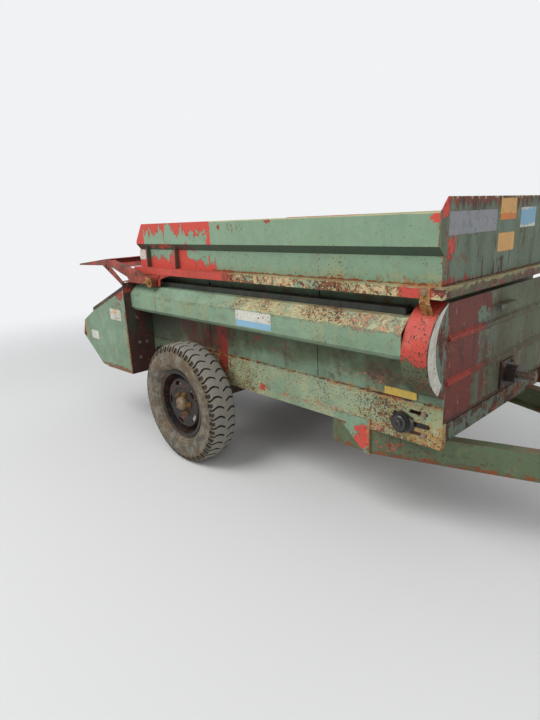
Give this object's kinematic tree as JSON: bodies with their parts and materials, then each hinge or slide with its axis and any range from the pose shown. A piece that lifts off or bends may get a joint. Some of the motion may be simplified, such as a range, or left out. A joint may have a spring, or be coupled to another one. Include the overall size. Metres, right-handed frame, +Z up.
{
  "type": "manure spreader",
  "caption": "Trailed two-wheel manure spreader with a slatted-floor box, raised side boards, a rear beater over spinner discs, a hinged rear hood and an A-frame drawbar on its parking stand.",
  "frame": {"origin": "on the ground under the middle of the bounding box, with the machine standing on its tyres and its parking stand", "axes": "+X forward to the drawbar eye, +Y to the left side of the machine, +Z up"},
  "size_m": [4.0998, 1.749, 1.562],
  "materials": {
    "green_paint": "worn sage-green paint over red primer, rust spots",
    "red_paint": "faded coral-red paint with rust",
    "front_paint": "dark red paint with green overspray and rust",
    "brown_paint": "dark red-brown paint, dirty",
    "dark_paint": "black paint, dusty",
    "bare_steel": "worn steel with rust",
    "rust_strap": "rusty flat iron",
    "greasy_iron": "greasy black iron",
    "tyre_rubber": "dusty grey rubber",
    "rim_paint": "black paint with brown dust",
    "hub_paint": "dusty cream paint"
  },
  "bodies": {
    "root": {"drawbar": "green_paint", "gussets": "green_paint", "chassis": "brown_paint", "axle": "dark_paint", "side_right": "green_paint", "side_left": "green_paint", "front_wall": "front_paint", "head_board": "green_paint", "board_right": "green_paint", "board_left": "green_paint", "flange_frame": "red_paint", "hopper_right": "green_paint", "hopper_left": "green_paint", "hopper_front": "green_paint", "wall_ribs": "brown_paint", "floor": "bare_steel", "floor_chain": "bare_steel", "chain_shafts": "bare_steel", "chain_bearings": "greasy_iron", "feed_gearbox": "greasy_iron", "chain_guard": "red_paint", "guard_strap": "rust_strap", "shaft_cover": "green_paint", "side_rails": "dark_paint", "rear_posts": "brown_paint", "tail_plates": "green_paint", "deflector": "dark_paint", "beater_drive": "dark_paint", "spinner_drive": "dark_paint", "spinner_carrier": "brown_paint", "hood_hinges": "brown_paint", "input_bearing": "greasy_iron", "stand_ears": "green_paint"},
    "wheel_right": {"tyre_right": "tyre_rubber", "rim_right": "rim_paint", "hub_right": "hub_paint"},
    "wheel_left": {"tyre_left": "tyre_rubber", "rim_left": "rim_paint", "hub_left": "hub_paint"},
    "beater_rotor": {"beater": "red_paint"},
    "spinner_disc_right": {"spinner_right": "bare_steel"},
    "spinner_disc_left": {"spinner_left": "bare_steel"},
    "rear_hood": {"hood": "red_paint"},
    "parking_stand": {"stand_leg": "dark_paint"},
    "drive_input": {"input_shaft": "bare_steel"}
  },
  "joints": [
    {"name": "wheel_right_spin", "type": "hinge", "parent": "root", "child": "wheel_right", "pos_m": [-0.658, 0, 0.39], "axis": [0, 1, 0], "continuous": true},
    {"name": "wheel_left_spin", "type": "hinge", "parent": "root", "child": "wheel_left", "pos_m": [-0.658, 0, 0.39], "axis": [0, 1, 0], "continuous": true},
    {"name": "beater_spin", "type": "hinge", "parent": "root", "child": "beater_rotor", "pos_m": [-1.49, 0, 0.78], "axis": [0, 1, 0], "continuous": true},
    {"name": "spinner_right_spin", "type": "hinge", "parent": "root", "child": "spinner_disc_right", "pos_m": [-1.68, -0.3, 0.503], "axis": [0, 0, 1], "continuous": true},
    {"name": "spinner_left_spin", "type": "hinge", "parent": "root", "child": "spinner_disc_left", "pos_m": [-1.68, 0.3, 0.503], "axis": [0, 0, 1], "continuous": true},
    {"name": "input_spin", "type": "hinge", "parent": "root", "child": "drive_input", "pos_m": [1.02, 0, 0.72], "axis": [1, 0, 0], "continuous": true},
    {"name": "hood_lift", "type": "hinge", "parent": "root", "child": "rear_hood", "pos_m": [-1.005, 0, 1.135], "axis": [0, 1, 0], "range_deg": [0, 70]},
    {"name": "stand_swing", "type": "hinge", "parent": "root", "child": "parking_stand", "pos_m": [1.64, 0, 0.395], "axis": [0, 1, 0], "range_deg": [0, 95]}
  ],
  "couplings": [
    {"joint": "spinner_right_spin", "follows": "beater_spin", "ratio": 1.5},
    {"joint": "spinner_left_spin", "follows": "beater_spin", "ratio": -1.5},
    {"joint": "input_spin", "follows": "beater_spin", "ratio": 1.35}
  ]
}
